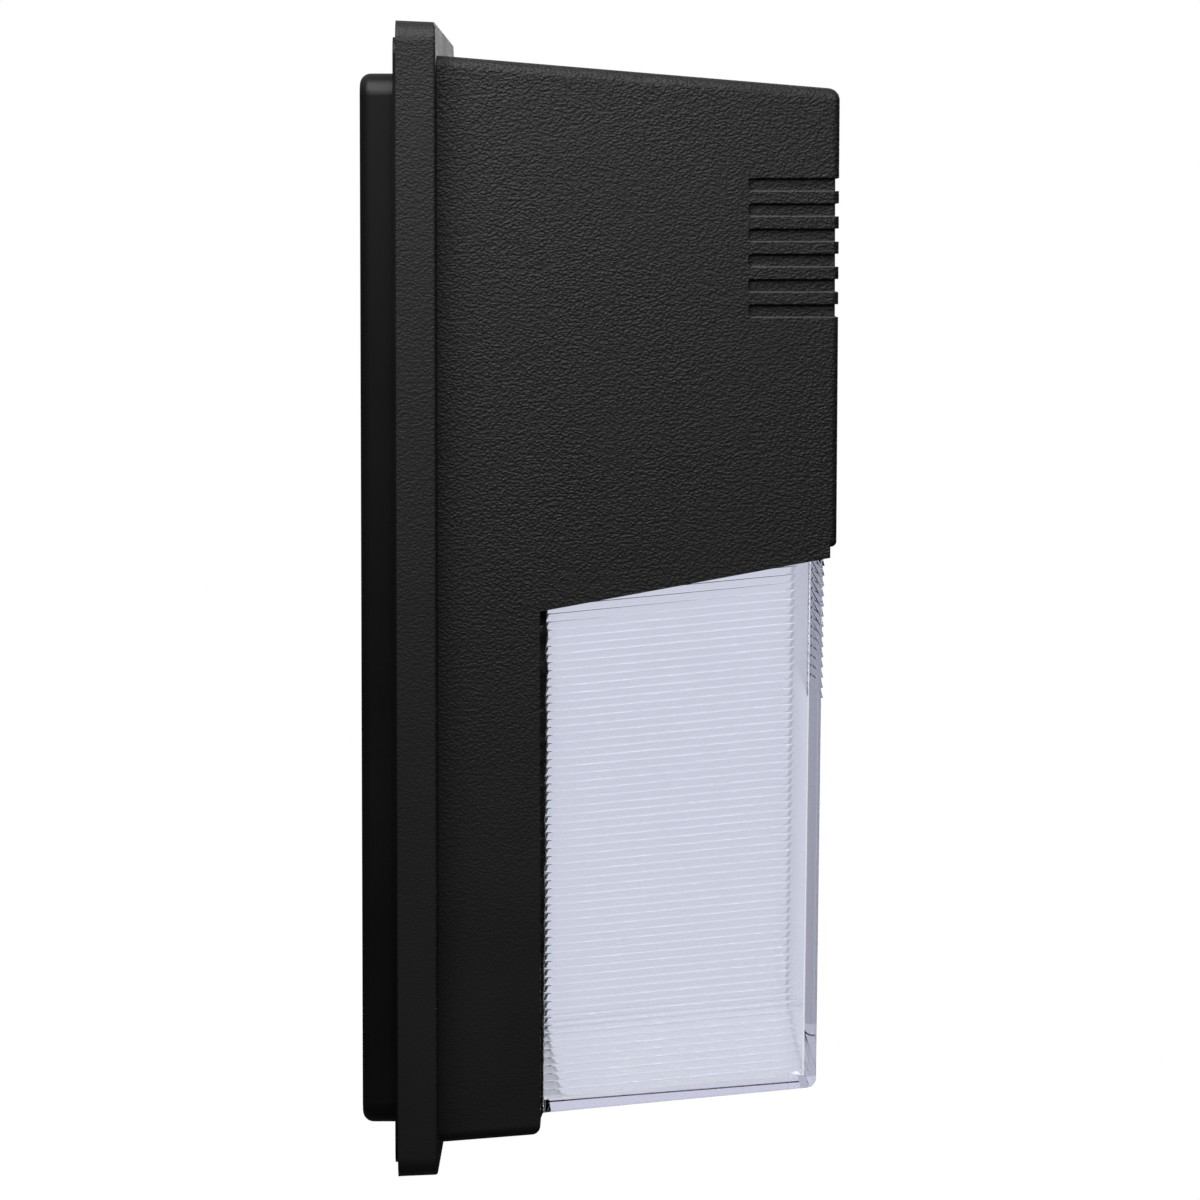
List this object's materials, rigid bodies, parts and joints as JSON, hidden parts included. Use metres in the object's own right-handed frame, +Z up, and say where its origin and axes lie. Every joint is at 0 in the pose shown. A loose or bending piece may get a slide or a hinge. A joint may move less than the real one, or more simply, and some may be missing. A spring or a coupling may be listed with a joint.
{
  "type": "wall pack light",
  "caption": "Outdoor wall pack light: shallow back box, hinged textured front with a deep hood and louvre grooves, and a clear prismatic lens over a lit board.",
  "frame": {"origin": "middle of the four wall screws, on the back box's rear face against the wall", "axes": "+Z up, -Y out of the wall towards the front, +X to the right seen from the front"},
  "size_m": [0.178, 0.1316, 0.3176],
  "materials": {
    "housing_plastic": "moulded leather grain",
    "box_paint": "smooth satin powder coat",
    "clear_lens": "clear, prismatic",
    "black_rubber": "matt",
    "grey_rubber": "matt",
    "zinc_steel": "zinc plated",
    "brass": "machined",
    "green_steel": "green dyed zinc",
    "white_steel": "white gloss enamel",
    "white_reflector": "white high-reflectance paint",
    "board_white": "white solder mask",
    "chip_yellow": "phosphor",
    "bare_aluminium": "extruded",
    "driver_white": "moulded",
    "board_green": "circuit board",
    "terminal_grey": "moulded",
    "red_lead": "silicone insulation",
    "black_lead": "silicone insulation",
    "white_lead": "silicone insulation"
  },
  "bodies": {
    "wall_box": {"back_box": "box_paint", "rim_gasket": "black_rubber", "hinge_pins": "zinc_steel", "screw_inserts": "brass", "ground_screw": "green_steel", "cable_grommet": "black_rubber"},
    "cover": {"front_housing": "housing_plastic", "lens": "clear_lens", "lens_gasket": "black_rubber", "gear_tray": "white_steel", "tray_screws": "zinc_steel", "reflector": "white_reflector", "led_board": "board_white", "led_chips": "chip_yellow", "led_connector": "driver_white", "led_board_screws": "zinc_steel", "heat_sink": "bare_aluminium", "driver_case": "driver_white", "driver_lid": "driver_white", "driver_board": "board_green", "driver_screws": "zinc_steel", "terminal_block": "terminal_grey", "terminal_screws": "zinc_steel", "lead_grommets": "grey_rubber", "positive_lead": "red_lead", "negative_lead": "black_lead", "line_lead": "black_lead", "neutral_lead": "white_lead"},
    "left_screw": {"cover_screw_left": "zinc_steel", "screw_seal_left": "black_rubber"},
    "right_screw": {"cover_screw_right": "zinc_steel", "screw_seal_right": "black_rubber"}
  },
  "joints": [
    {"name": "cover_hinge", "type": "hinge", "parent": "wall_box", "child": "cover", "pos_m": [0, -0.012, 0.1522], "axis": [-1, 0, 0], "range_deg": [0, 90]},
    {"name": "left_screw_slide", "type": "slide", "parent": "cover", "child": "left_screw", "axis": [0, -1, 0], "range_m": [0, 0.0042]},
    {"name": "right_screw_slide", "type": "slide", "parent": "cover", "child": "right_screw", "axis": [0, -1, 0], "range_m": [0, 0.0042]}
  ]
}
